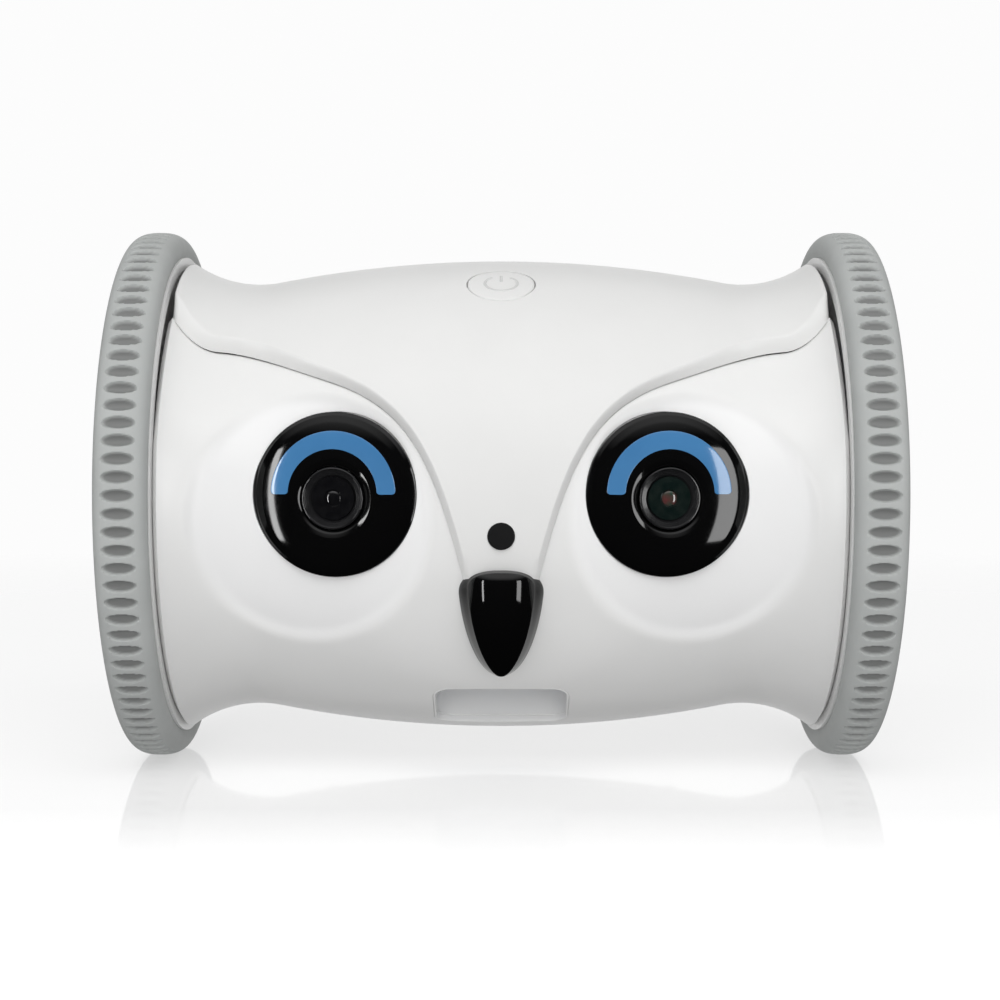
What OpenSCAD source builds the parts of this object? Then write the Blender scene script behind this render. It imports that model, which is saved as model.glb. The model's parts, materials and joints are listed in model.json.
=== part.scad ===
// Two-wheeled owl-faced camera robot with a treat dispenser.
// Frame: X along the axle, the face looks along -Y, Z up, origin on the floor midway between
// the wheels. Left and right are as seen from the front, so right is +X. Millimetres.

/* [Wheels] */
// Outside diameter of the tyres
wheel_d = 150; // [149:0.5:152]
// Width over both tyres
overall_w = 208; // [207.6:0.2:209]
// Width of one tyre
tyre_w = 13; // [12.4:0.2:13.6]
// Radius of the rim that the tyre is stretched over
rim_r = 68; // [67.4:0.2:68.6]
// Grip dimples round one tyre
dimple_count = 100; // [60:4:120]

/* [Casing] */
// Outer radius of the barrel halfway between the wheels
mid_r = 66.9; // [66.5:0.1:67.3]
// Outer radius at each waist
waist_r = 60.3; // [60:0.1:61]
// Distance of each waist from the middle
waist_x = 69; // [68.5:0.1:69.5]
// Radius of the hollow arc at each waist
waist_arc = 33; // [32:0.5:35]
// Distance of each end of the barrel from the middle
body_end = 88.4; // [88:0.1:88.8]
// Wall thickness of the casing
wall = 2.2; // [1.8:0.1:2.3]
// Step down from the brow cover to the face
face_inset = 1.9; // [1.4:0.1:2.1]
// Gap along every seam of the casing
seam_gap = 0.25; // [0.15:0.05:0.4]

/* [Face] */
// Distance of each eye from the middle
eye_x = 43.1; // [42.8:0.1:43.4]
// Height of the eyes above the axle
eye_z = 2.1; // [1.8:0.1:2.4]
// Outer radius of an eye cover
eye_r = 21.5; // [21:0.1:21.7]
// Outward turn of each eye in degrees
eye_turn = 7; // [6:0.5:8]
// Radius of the recessed disc round each eye
disc_r = 33.5; // [33:0.1:34]
// Depth of the recessed disc
disc_depth = 1.2; // [0.8:0.1:1.4]
// Radius of the dark dot above the beak
dot_r = 3.5; // [3:0.1:3.8]
// Radius of the power button
button_r = 9.3; // [8.8:0.1:9.6]
// Travel of the power button
button_travel = 0.8; // [0.5:0.1:1]

/* [Drive] */
// Teeth on each wheel gear
wheel_teeth = 42; // [42:1:42]
// Teeth on each drive pinion
pinion_teeth = 14; // [14:1:14]
// Radius of the wheel axles
axle_r = 4; // [3.6:0.1:4]
// Running clearance of every turning shaft
running = 0.05; // [0.03:0.01:0.08]

/* [Treats] */
// Radius of the dispensing rotor
rotor_r = 16.5; // [16:0.1:16.8]
// Half of the width of the treat outlet
outlet_half = 18.5; // [17:0.5:19]
// Teeth on the rotor gear
rotor_teeth = 28; // [28:1:28]
// Teeth on the dispenser pinion
feed_teeth = 12; // [12:1:12]

/* [Hidden] */
$fn = 96;

white = [0.94, 0.94, 0.93];
black = [0.05, 0.05, 0.06];
dark = [0.13, 0.13, 0.14];
grey = [0.62, 0.64, 0.63];
steel = [0.72, 0.73, 0.75];
board_green = [0.05, 0.3, 0.16];
blue = [0.25, 0.55, 0.85];

fit = 0.1;
bore_fit = 0.02;
wheel_r = wheel_d / 2;
tyre_x = (overall_w - tyre_w) / 2;
rim_in = 89.8;
rim_out = 103.2;
cover_x = 99.6;
wheel_screw_ring = 50;
split_turn = 0.22;

// The barrel's outline: a crown arc through the middle, tangent to a hollow arc at each waist.
waist_drop = waist_r + waist_arc - mid_r;
crown_arc = (waist_x * waist_x + waist_drop * waist_drop - waist_arc * waist_arc)
    / (2 * (waist_arc - waist_drop));
join_sine = waist_x / (crown_arc + waist_arc);

// Front seam between brow and face: three Bezier stretches on the right, [distance, height].
seam = [
    [[9.7, -20.2], [17.4, 10.8], [23.8, 24.5], [44.7, 31.2]],
    [[44.7, 31.2], [55, 34.5], [67, 38.9], [76, 39.3]],
    [[76, 39.3], [80.5, 39.9], [85.2, 43.5], [90, 51.5]]
];
seam_steps = 6;

// Beak: half outline seen from the front, and the circle that each cheek follows round the keel.
beak_curve = [
    [[0, -17.1], [6, -16.9], [11.6, -18.6], [11, -24]],
    [[11, -24], [10.4, -31], [5, -46.8], [0, -46.8]]
];
beak_keel_r = 19.2;
beak_cheek_r = 30;
beak_cheek_x = 12;
beak_y = -50.8;
beak_z = -27.5;
peg_half = 4;
peg_low = -36;
peg_high = -26;

// Eyes: each one's own frame has Z pointing out of the face, with the lens a little below its
// centre and the light arc as much above it.
eye_y = -59;
eye_shift = 0.9;
eye_top = 4.9;
eye_dome_r = 120;
arc_out = 16.1;
arc_in = 11.2;
lens_hole_r = 10.2;
lens_barrel_r = 8.1;
lens_r = 5.6;
disc_x = 49.6;
disc_z = -4.2;
dot_z = -8.4;

// Directions are given as degrees up from straight ahead, carried on over the top to the back.
button_dir = 61;
outlet_dir = -60.25;
outlet_half_arc = 12.4;
hatch_low = 36;
hatch_high = 74;
hatch_half = 27;
hinge_r = 67.2;
knuckle_r = 2.2;
knuckle_w = 8;
knuckle_end = 24;
pin_r = 1;
speaker_dir = 200;
port_x = 36;
port_z = 4;

rotor_y = -10;
rotor_z = -18;
rotor_half = 20.4;
housing_r = 19;
housing_half = 22.6;
feed_angle = 120;
rotor_shaft_r = 2.5;
pitch = 1;
drive_spacing = (wheel_teeth + pinion_teeth) * pitch / 2;
feed_spacing = (rotor_teeth + feed_teeth) * pitch / 2;
feed_y = rotor_y + feed_spacing * cos(feed_angle);
feed_z = rotor_z + feed_spacing * sin(feed_angle);
hopper_half = 24;
hopper_wall = 1.6;

bracket_x = 66;
bracket_w = 3;
plate_x = 82;
plate_w = 2.5;
plate_r = 58.3;
bearing_r = 8;
motor_r = 10;
shaft_r = 1.5;
cell_r = 9.2;
cells = [[12, -50], [31, -41]];
boss_x = 50;
boss_z = 57.5;
screw_head_r = 2.8;
screw_r = 1.5;
posts = [[28, 20], [-28, 20], [28, -30], [-28, -30]];

function bezier(p, t) = pow(1 - t, 3) * p[0] + 3 * pow(1 - t, 2) * t * p[1]
    + 3 * (1 - t) * t * t * p[2] + t * t * t * p[3];
function trace(curve, steps) = [for (part = curve, i = [0 : steps - 1]) bezier(part, i / steps)];
function flip(points) = [for (i = [len(points) - 1 : -1 : 0]) [-points[i][0], points[i][1]]];
function join_x(grow) = waist_x - (waist_arc - grow) * join_sine;

seam_right = concat(trace(seam, seam_steps), [seam[2][3]]);
seam_line = concat(flip(seam_right), seam_right);
beak_right = concat(trace(beak_curve, 8), [beak_curve[1][3]]);
beak_line = concat([for (i = [1 : len(beak_right) - 2]) beak_right[i]], [beak_right[16]],
    flip([for (i = [1 : len(beak_right) - 2]) beak_right[i]]), [beak_right[0]]);

// Heights are measured from the axle until a node is lifted on to its wheels.
module on_wheels() {
    translate([0, 0, wheel_r])
    children();
}

module right_side() {
    on_wheels()
    children();
}

module left_side() {
    on_wheels()
    mirror([1, 0, 0])
    children();
}

module both_sides() {
    children();
    mirror([1, 0, 0])
    children();
}

// Copies at the four screws that hold the casing halves together.
module at_bosses() {
    both_sides()
    for (z = [-boss_z, boss_z])
        translate([boss_x, 0, z])
        children();
}

// Copies at the four posts behind one end plate.
module at_posts() {
    for (p = posts)
        translate([0, p[0], p[1]])
        children();
}

// Copies at the five screws of one wheel.
module at_wheel_screws() {
    for (turn = [0 : 72 : 288])
        rotate([turn, 0, 0])
        translate([0, 0, wheel_screw_ring])
        children();
}

module at_rotor() {
    translate([0, rotor_y, rotor_z])
    children();
}

module spin_x() {
    rotate([0, 90, 0])
    rotate_extrude()
    children();
}

module along_x(from, to, r) {
    translate([from, 0, 0])
    rotate([0, 90, 0])
    cylinder(r = r, h = to - from);
}

module along_y(from, to, r) {
    translate([0, from, 0])
    rotate([-90, 0, 0])
    cylinder(r = r, h = to - from);
}

// Extrudes a [y, z] outline along X.
module side_cut(from, to) {
    translate([from, 0, 0])
    rotate([90, 0, 90])
    linear_extrude(to - from)
    children();
}

// Extrudes an [x, z] outline along Y.
module front_cut(from, to) {
    translate([0, to, 0])
    rotate([90, 0, 0])
    linear_extrude(to - from)
    children();
}

module block(low, high) {
    translate(low)
    cube(high - low);
}

// Local Z points outwards in the given direction.
module aim(direction) {
    rotate([90 - direction, 0, 0])
    children();
}

module eye_frame() {
    translate([eye_x, eye_y, eye_z])
    rotate([0, 0, eye_turn])
    rotate([90, 0, 0])
    children();
}

/* ---------- casing ---------- */

module barrel_outline(grow, end) {
    difference() {
        translate([0, -end])
        square([mid_r + 5, 2 * end]);
        for (side = [-1, 1])
            translate([waist_r + waist_arc, side * waist_x])
            circle(r = waist_arc - grow, $fn = 180);
        difference() {
            translate([0, -join_x(grow)])
            square([mid_r + 6, 2 * join_x(grow)]);
            translate([mid_r - crown_arc, 0])
            circle(r = crown_arc + grow, $fn = 720);
        }
    }
}

module barrel(grow, end = body_end) {
    spin_x()
    barrel_outline(grow, end);
}

module casing(outer) {
    difference() {
        barrel(outer);
        barrel(outer - wall, body_end + 1);
    }
}

module eye_disc(r) {
    translate([disc_x, 0, disc_z])
    along_y(-90, -20, r);
}

module below_seam() {
    translate([0, 0, seam_gap])
    front_cut(-90, 1)
    polygon(concat(seam_line, [[90, -80], [-90, -80]]));
}

module above_seam() {
    front_cut(-90, 1)
    polygon(concat(seam_line, [[90, 80], [-90, 80]]));
}

module rounded_slot(half_w, half_h, r) {
    for (x = [-1, 1], y = [-1, 1])
        translate([x * (half_w - r), y * (half_h - r)])
        circle(r = r, $fn = 32);
    square([2 * half_w, 2 * (half_h - r)], center = true);
    square([2 * (half_w - r), 2 * half_h], center = true);
}

module outlet_hole() {
    aim(outlet_dir)
    translate([0, 0, 50])
    linear_extrude(25)
    rounded_slot(outlet_half, outlet_half_arc, 5);
}

// A screw boss standing on the wall at the split, with a pilot hole.
module split_boss(from, to, height) {
    both_sides()
    translate([boss_x, 0, height])
    difference() {
        along_y(from, to, 3.6);
        along_y(from + 1, to + 1, screw_r + 0.05);
    }
}

module face_shell() {
    color(white) {
        difference() {
            translate([0, face_inset, 0])
            difference() {
                casing(0);
                both_sides()
                difference() {
                    eye_disc(disc_r);
                    barrel(-disc_depth);
                }
            }
            above_seam();
            block([-90, 0, -80], [90, 90, 80]);
            both_sides()
            eye_frame()
            translate([0, 0, -20])
            cylinder(r = eye_r + fit, h = 40);
            outlet_hole();
            block([-peg_half - fit, -80, peg_low - fit], [peg_half + fit, -40, peg_high + fit]);
        }
        split_boss(-12, -0.05, -boss_z);
    }
}

module brow_cover() {
    color(white) {
        difference() {
            casing(0);
            below_seam();
            block([-90, 0, -80], [90, 90, 80]);
            translate([0, 0, dot_z])
            along_y(-90, -40, dot_r + fit);
            aim(button_dir)
            translate([0, 0, 50])
            cylinder(r = button_r + fit, h = 30);
        }
        split_boss(-12, -0.05, boss_z);
    }
}

// The back half starts a hair behind the split, on planes through the axle line.
module behind_split() {
    rotate([-split_turn, 0, 0])
    block([-90, 0, -0.1], [90, 90, 90]);
    rotate([split_turn, 0, 0])
    block([-90, 0, -90], [90, 90, 0.1]);
}

module hatch_area(edge) {
    half = hatch_half - edge;
    intersection() {
        aim(180 - hatch_low)
        block([-half, -80, 40], [half, -edge, 80]);
        aim(180 - hatch_high)
        block([-half, edge, 40], [half, 80, 80]);
    }
}

module hinge_frame() {
    aim(180 - hatch_low)
    translate([0, 0, hinge_r])
    children();
}

module knuckles(starts, length, r) {
    hinge_frame()
    for (x = starts)
        along_x(x, x + length, r);
}

module port_hole(grow) {
    translate([port_x, 0, port_z])
    front_cut(45, 80)
    rounded_slot(4.5 + grow, 1.6 + grow, 1.5 + grow);
}

module rear_shell() {
    color(white) {
        difference() {
            union() {
                intersection() {
                    casing(0);
                    behind_split();
                }
                knuckles([-knuckle_end, knuckle_end - knuckle_w], knuckle_w, knuckle_r);
            }
            hatch_area(0);
            knuckles([-15.7], 31.4, knuckle_r + 0.4);
            hinge_frame()
            along_x(-30, 30, pin_r + bore_fit);
            aim(speaker_dir)
            for (x = [-9 : 3 : 9], y = [-9 : 3 : 9])
                if (x * x + y * y < 90)
                    translate([x, y, 55])
                    cylinder(r = 0.8, h = 20, $fn = 24);
            port_hole(0.3);
            at_bosses()
            along_y(12, 50, screw_head_r + 0.4);
        }
        at_bosses()
        difference() {
            along_y(0.4, 16, 4.2);
            along_y(0, 20, screw_r + 0.2);
            along_y(12, 20, screw_head_r + 0.4);
        }
    }
}

module hatch_lid() {
    color(white)
    difference() {
        union() {
            intersection() {
                casing(0);
                hatch_area(seam_gap);
            }
            knuckles([-15.4], 30.8, knuckle_r);
        }
        knuckles([-28, 15.6], 12.4, knuckle_r + 0.4);
        hinge_frame()
        along_x(-30, 30, pin_r + running);
    }
}

module hatch_pin() {
    color(steel)
    hinge_frame()
    along_x(-knuckle_end, knuckle_end, pin_r);
}

/* ---------- frame and bearings ---------- */

module end_plate() {
    color(dark)
    difference() {
        union() {
            along_x(plate_x, plate_x + plate_w, plate_r);
            along_x(plate_x, 87.5, bearing_r + 2.5);
            at_posts()
            along_x(bracket_x + bracket_w, plate_x + 0.5, 4);
        }
        along_x(plate_x - 1, 90, bearing_r + bore_fit);
        at_posts() {
            along_x(bracket_x, 90, screw_r + fit);
            along_x(83.2, 90, screw_head_r + 0.3);
        }
    }
}

module bracket() {
    difference() {
        side_cut(bracket_x, bracket_x + bracket_w - 0.05)
        polygon([[-34, -24], [-22, -38], [22, -38], [34, -28], [34, 16], [24, 26], [-24, 26],
            [-34, 16]]);
        along_x(60, 75, bearing_r + bore_fit);
        translate([0, 0, -drive_spacing])
        along_x(60, 75, 3.2);
        at_posts()
        along_x(60, 75, 1.3);
    }
}

module chassis_frame() {
    color(dark) {
        both_sides()
        bracket();
        block([-bracket_x - 0.5, 12, -30], [bracket_x + 0.5, 14, -6]);
        both_sides()
        difference() {
            block([44, -12, -39.6], [62, 13, -22]);
            translate([0, 0, -drive_spacing])
            along_x(40, 70, motor_r + bore_fit);
            block([40, -20, -28], [70, 11, 0]);
        }
    }
}

module axle_bearings() {
    color(steel)
    on_wheels()
    both_sides()
    for (x = [bracket_x, 83])
        difference() {
            along_x(x, x + 4, bearing_r);
            along_x(x - 1, x + 5, axle_r + running);
        }
}

module end_plate_screws() {
    color(steel)
    on_wheels()
    both_sides()
    at_posts() {
        along_x(83.25, 85, screw_head_r);
        along_x(70, 83.5, screw_r);
    }
}

module casing_screws() {
    color(steel)
    on_wheels()
    at_bosses() {
        along_y(12.05, 14, screw_head_r);
        along_y(-9, 12.5, screw_r);
    }
}

/* ---------- eyes, beak and button ---------- */

// Upper half of a ring, with level ends.
module arc_shape(grow) {
    difference() {
        circle(r = arc_out + grow);
        circle(r = arc_in - grow);
        translate([-20, -40 - grow])
        square([40, 40]);
    }
}

module eye_cover() {
    color(black)
    eye_frame()
    difference() {
        intersection() {
            translate([0, 0, -4])
            cylinder(r = eye_r, h = 10);
            translate([0, 0, eye_top - eye_dome_r])
            sphere(r = eye_dome_r, $fn = 240);
        }
        translate([0, 0, -5])
        cylinder(r = eye_r - 1.8, h = 6);
        translate([0, -eye_shift, -5])
        cylinder(r = lens_hole_r, h = 12);
        translate([0, eye_shift, -5])
        linear_extrude(12)
        arc_shape(0);
    }
}

module light_arc() {
    color(blue)
    eye_frame()
    translate([0, eye_shift, -1])
    linear_extrude(eye_top - 0.1)
    arc_shape(-fit);
}

module lens_ring() {
    color(dark)
    eye_frame()
    translate([0, -eye_shift, 0])
    difference() {
        union() {
            translate([0, 0, -9])
            cylinder(r = lens_barrel_r, h = 11.6);
            translate([0, 0, -2])
            cylinder(r = lens_hole_r - fit, h = 2);
        }
        translate([0, 0, 1.2])
        cylinder(r = 7, h = 3);
        translate([0, 0, -10])
        cylinder(r = lens_r + fit, h = 14);
    }
}

module lens() {
    color(black)
    eye_frame()
    translate([0, -eye_shift, 0])
    intersection() {
        translate([0, 0, -6])
        cylinder(r = lens_r, h = 9);
        translate([0, 0, -7.2])
        sphere(r = 9);
    }
}

module camera_board() {
    color(board_green)
    eye_frame()
    translate([-11, -12, -10.8])
    cube([22, 22, 1.6]);
}

// Two cheek arcs that cross at the keel, turned about an axis inside the casing.
module beak_bulk() {
    translate([0, beak_y, beak_z])
    spin_x()
    intersection() {
        translate([0, -beak_cheek_x])
        square([30, 2 * beak_cheek_x]);
        for (side = [-1, 1])
            translate([beak_keel_r - sqrt(beak_cheek_r * beak_cheek_r - beak_cheek_x * beak_cheek_x),
                side * beak_cheek_x])
            circle(r = beak_cheek_r, $fn = 240);
    }
}

module beak() {
    color(black) {
        difference() {
            intersection() {
                front_cut(-80, -40)
                polygon(beak_line);
                beak_bulk();
            }
            barrel(fit);
        }
        block([-peg_half, -63.5, peg_low], [peg_half, -52, peg_high]);
    }
}

module sensor_window() {
    color(black)
    translate([0, 0, dot_z])
    along_y(-66.7, -61, dot_r);
}

module power_mark() {
    difference() {
        circle(r = 4.4);
        circle(r = 3.4);
        translate([-1.5, 0])
        square([3, 6]);
    }
    translate([-0.5, 0.6])
    square([1, 4.6]);
}

module power_button() {
    color(white)
    aim(button_dir)
    difference() {
        union() {
            translate([0, 0, 61.5])
            cylinder(r = button_r, h = 6.3);
            translate([0, 0, 55.9])
            cylinder(r = 2.5, h = 6);
        }
        translate([0, 0, 67.5])
        linear_extrude(1)
        power_mark();
    }
}

module power_switch_board() {
    color(board_green)
    aim(button_dir) {
        translate([-11, -8, 51])
        cube([22, 16, 1.6]);
        translate([-3, -3, 52.6])
        cube([6, 6, 3.1 - button_travel]);
    }
}

/* ---------- treats ---------- */

module treat_hopper() {
    color(grey)
    difference() {
        intersection() {
            side_cut(-hopper_half, hopper_half)
            polygon([[-6, 66], [48, 66], [48, 12.4], [7.6, -5.1], [7.6, -12], [-6, -12]]);
            barrel(-wall - 0.4);
        }
        side_cut(hopper_wall - hopper_half, hopper_half - hopper_wall)
        polygon([[-4.4, 62.4], [1, 62.4], [1, 70], [46.4, 70], [46.4, 13.5], [6, -4], [6, -20],
            [-4.4, -20]]);
        at_rotor()
        along_x(-30, 30, housing_r + 0.05);
    }
}

module dispenser_housing() {
    color(grey)
    difference() {
        at_rotor()
        difference() {
            along_x(-housing_half, housing_half, housing_r);
            along_x(-rotor_half - 0.6, rotor_half + 0.6, rotor_r + 0.4);
            along_x(-30, 30, rotor_shaft_r + running);
        }
        block([3 - hopper_half, -4.4, -14], [hopper_half - 3, 6, 8]);
        aim(outlet_dir)
        block([-outlet_half + 0.6, -11.8, 22], [outlet_half - 0.6, 11.8, 50]);
    }
}

module treat_chute() {
    color(dark)
    difference() {
        intersection() {
            aim(outlet_dir)
            block([-outlet_half - 1.2, -13.4, 28], [outlet_half + 1.2, 13.4, 70]);
            translate([0, face_inset, 0])
            barrel(-wall - 0.2);
        }
        aim(outlet_dir)
        block([0.2 - outlet_half, -12, 20], [outlet_half - 0.2, 12, 80]);
        at_rotor()
        along_x(-30, 30, housing_r + 0.05);
    }
}

module treat_rotor() {
    color(blue)
    at_rotor() {
        difference() {
            along_x(-rotor_half, rotor_half, rotor_r);
            for (turn = [45 : 90 : 315])
                rotate([turn, 0, 0])
                translate([0, 0, 15])
                along_x(2 - rotor_half, rotor_half - 2, 8.4);
        }
        along_x(-housing_half, 30, rotor_shaft_r);
    }
}

/* ---------- gears ---------- */

function inv(a) = tan(a) * 180 / PI - a;
function half_tooth(teeth, r) = 90 / teeth - 3.4 / teeth + inv(20)
    - inv(acos(min(1, teeth * pitch * cos(20) / 2 / r)));
function tooth_radii(teeth) = [teeth / 2 - 1.25, teeth * cos(20) / 2 + 0.01, teeth / 2,
    teeth / 2 + 0.5, teeth / 2 + 0.95];
function gear_points(teeth) = [
    for (i = [0 : teeth - 1], s = [-1, 1], k = [0 : 4])
        let (r = pitch * tooth_radii(teeth)[s < 0 ? k : 4 - k],
            a = i * 360 / teeth + s * half_tooth(teeth, max(r, teeth * cos(20) / 2)))
            [r * cos(a), r * sin(a)]
];

module gear(teeth, turn, from, to, bore) {
    difference() {
        side_cut(from, to)
        rotate(turn)
        polygon(gear_points(teeth));
        along_x(from - 1, to + 1, bore);
    }
}

module rotor_gear() {
    color(steel)
    at_rotor()
    gear(rotor_teeth, feed_angle, 25, 28.5, rotor_shaft_r + bore_fit);
}

module dispenser_pinion() {
    color(steel)
    translate([0, feed_y, feed_z]) {
        gear(feed_teeth, feed_angle + 180 + 180 / feed_teeth, 24.5, 29, 1);
        along_x(24.5, 40, shaft_r);
    }
}

module motor(from, to, r) {
    color(steel)
    difference() {
        union() {
            along_x(from, to, r);
            along_x(from - 1.5, from, 3.4);
        }
        along_x(from - 3, from + 11, shaft_r + running);
    }
}

module dispenser_motor() {
    translate([0, feed_y, feed_z])
    motor(31.5, 47, 7.6);
}

module drive_motor() {
    color(steel)
    translate([0, 0, -drive_spacing])
    difference() {
        along_x(41, bracket_x - 0.1, motor_r);
        along_x(50, 70, shaft_r + running);
    }
}

module drive_pinion() {
    color(steel)
    translate([0, 0, -drive_spacing]) {
        gear(pinion_teeth, 90 + 180 / pinion_teeth, 73.5, 79.5, 1);
        along_x(52, 79.5, shaft_r);
    }
}

module wheel_gear() {
    color(grey)
    gear(wheel_teeth, -90, 74, 79, axle_r + bore_fit);
}

/* ---------- electronics ---------- */

module main_board() {
    color(board_green)
    block([-44, 50, -2], [44, 51.6, 26]);
}

module board_chips() {
    color(dark) {
        block([-12, 51.65, 6], [2, 53, 20]);
        block([-30, 51.65, 4], [-22, 52.8, 12]);
        block([12, 51.65, 12], [20, 52.6, 20]);
        block([-40, 51.65, 16], [-34, 54.5, 22]);
    }
}

module speaker() {
    color(dark)
    aim(speaker_dir) {
        translate([0, 0, 53])
        cylinder(r = 13, h = 4);
        translate([0, 0, 46])
        cylinder(r = 8, h = 7);
    }
}

module charging_port() {
    color(steel)
    difference() {
        translate([port_x, 0, port_z])
        front_cut(51.7, 63)
        rounded_slot(4.5, 1.6, 1.5);
        translate([port_x, 0, port_z])
        front_cut(54, 70)
        rounded_slot(4.2, 1.3, 1.2);
    }
    color(dark)
    block([port_x - 3, 53.5, port_z - 0.3], [port_x + 3, 61, port_z + 0.3]);
}

module battery_cells() {
    color(blue)
    for (c = cells)
        translate([0, c[0], c[1]]) {
            along_x(-32.5, 31.5, cell_r);
            along_x(31, 32.5, 2.8);
        }
}

module battery_holder() {
    color(dark)
    difference() {
        for (c = cells)
            translate([0, c[0], c[1]])
            along_x(-34.5, 34.5, cell_r + 1.2);
        for (c = cells)
            translate([0, c[0], c[1]])
            along_x(-32.8, 32.8, cell_r + fit);
        block([-30, -2, -52], [30, 24, -20]);
        block([-30, 20, -41], [30, 50, -20]);
    }
}

module ballast_weights() {
    color(steel)
    both_sides()
    block([36, -17, -52.5], [56, 9, -41]);
}

/* ---------- wheels ---------- */

module tyre_outline() {
    corner = 3.6;
    intersection() {
        union() {
            translate([rim_r, tyre_x - tyre_w / 2])
            square([wheel_r - corner - rim_r, tyre_w]);
            translate([rim_r, tyre_x - tyre_w / 2 + corner])
            square([wheel_r - rim_r, tyre_w - 2 * corner]);
            for (s = [-1, 1])
                translate([wheel_r - corner, tyre_x + s * (tyre_w / 2 - corner)])
                circle(r = corner);
        }
        translate([wheel_r - 40, tyre_x])
        circle(r = 40, $fn = 240);
        translate([rim_r, tyre_x - tyre_w])
        square(2 * tyre_w);
    }
}

module tyre() {
    color(grey)
    difference() {
        spin_x()
        tyre_outline();
        for (i = [0 : dimple_count - 1])
            rotate([i * 360 / dimple_count, 0, 0])
            translate([0, 0, wheel_r + 0.9])
            along_x(tyre_x - 4.1, tyre_x + 4.1, 1.6, $fn = 24);
    }
}

module rim() {
    color(white)
    difference() {
        spin_x()
        polygon([[axle_r + bore_fit, 90.2], [10, 90.2], [10, 91.6], [64.6, 91.6], [64.6, rim_in],
            [rim_r - 0.05, rim_in], [rim_r - 0.05, rim_out], [65, rim_out], [65, 94], [12, 94],
            [12, 98.8], [axle_r + bore_fit, 98.8]]);
        at_wheel_screws()
        along_x(90, 96, 1.55);
    }
}

module wheel_cover() {
    color(white)
    difference() {
        spin_x()
        polygon([[15.4, cover_x], [15.4, 101.4], [24, 101.8], [52, 100.6], [61, 102.8],
            [64.8, 102.8], [64.8, 101.2], [61, 101], [52, 98.8], [24, 100]]);
        at_wheel_screws() {
            along_x(95, 105, screw_r + 0.2);
            along_x(100, 105, screw_head_r + 0.4);
        }
    }
    color(white)
    at_wheel_screws()
    difference() {
        along_x(94.1, 99.4, 3.6);
        along_x(93, 100, screw_r + 0.2);
    }
}

module wheel_screws() {
    color(steel)
    at_wheel_screws() {
        along_x(100.05, 101.6, screw_head_r);
        along_x(92, 100.5, screw_r);
    }
}

module hub_cap() {
    color(grey)
    spin_x()
    difference() {
        intersection() {
            translate([0, 99.3])
            square([15.2, 5]);
            translate([0, 43.6])
            circle(r = 60, $fn = 240);
        }
        translate([-1, 98])
        square([12, 3.6]);
    }
}

module axle() {
    color(steel)
    difference() {
        along_x(65, 101.2, axle_r);
        along_x(95, 102, 1.2);
    }
}

on_wheels() face_shell();
on_wheels() brow_cover();
on_wheels() rear_shell();
on_wheels() hatch_lid();
on_wheels() hatch_pin();
left_side() end_plate();  // left_end_plate
right_side() end_plate();  // right_end_plate
on_wheels() chassis_frame();
left_side() eye_cover();  // left_eye_cover
right_side() eye_cover();  // right_eye_cover
left_side() light_arc();  // left_light_arc
right_side() light_arc();  // right_light_arc
right_side() lens_ring();  // camera_barrel
right_side() lens();  // camera_lens
right_side() camera_board();
left_side() lens_ring();  // night_lens_ring
left_side() lens();  // night_lens
on_wheels() beak();
on_wheels() sensor_window();
on_wheels() power_button();
on_wheels() power_switch_board();
on_wheels() treat_hopper();
on_wheels() dispenser_housing();
on_wheels() treat_chute();
on_wheels() treat_rotor();
on_wheels() rotor_gear();
on_wheels() dispenser_motor();
on_wheels() dispenser_pinion();
on_wheels() main_board();
on_wheels() board_chips();
on_wheels() speaker();
on_wheels() charging_port();
on_wheels() battery_cells();
on_wheels() battery_holder();
on_wheels() ballast_weights();
left_side() drive_motor();  // left_motor
right_side() drive_motor();  // right_motor
left_side() drive_pinion();  // left_pinion
right_side() drive_pinion();  // right_pinion
axle_bearings();
left_side() tyre();  // left_tyre
left_side() rim();  // left_rim
left_side() wheel_cover();  // left_wheel_cover
left_side() hub_cap();  // left_hub_cap
left_side() axle();  // left_axle
left_side() wheel_gear();  // left_wheel_gear
left_side() wheel_screws();  // left_wheel_screws
right_side() tyre();  // right_tyre
right_side() rim();  // right_rim
right_side() wheel_cover();  // right_wheel_cover
right_side() hub_cap();  // right_hub_cap
right_side() axle();  // right_axle
right_side() wheel_gear();  // right_wheel_gear
right_side() wheel_screws();  // right_wheel_screws
casing_screws();
end_plate_screws();
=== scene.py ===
import json
import math

import bmesh
import bpy
import numpy as np
from mathutils import Matrix, Vector


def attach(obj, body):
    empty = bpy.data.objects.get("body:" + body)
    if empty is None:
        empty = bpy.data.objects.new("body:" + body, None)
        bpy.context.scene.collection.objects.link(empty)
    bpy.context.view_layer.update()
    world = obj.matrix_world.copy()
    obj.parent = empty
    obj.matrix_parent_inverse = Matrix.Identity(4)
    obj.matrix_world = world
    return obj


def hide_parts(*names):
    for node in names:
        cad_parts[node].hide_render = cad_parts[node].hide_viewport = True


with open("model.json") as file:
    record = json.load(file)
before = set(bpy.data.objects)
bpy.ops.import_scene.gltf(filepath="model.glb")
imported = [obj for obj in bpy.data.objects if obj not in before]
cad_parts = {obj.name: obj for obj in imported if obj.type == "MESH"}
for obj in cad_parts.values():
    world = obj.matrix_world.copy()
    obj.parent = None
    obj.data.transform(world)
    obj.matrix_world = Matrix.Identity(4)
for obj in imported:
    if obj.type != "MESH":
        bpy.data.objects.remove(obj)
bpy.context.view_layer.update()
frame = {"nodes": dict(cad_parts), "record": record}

# All lengths below are millimetres, with heights measured from the axle, until mesh() makes metres.
# The camera, floor and lights at the end are in metres.
MM = 0.001
AXLE_Z = 75.0

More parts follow.
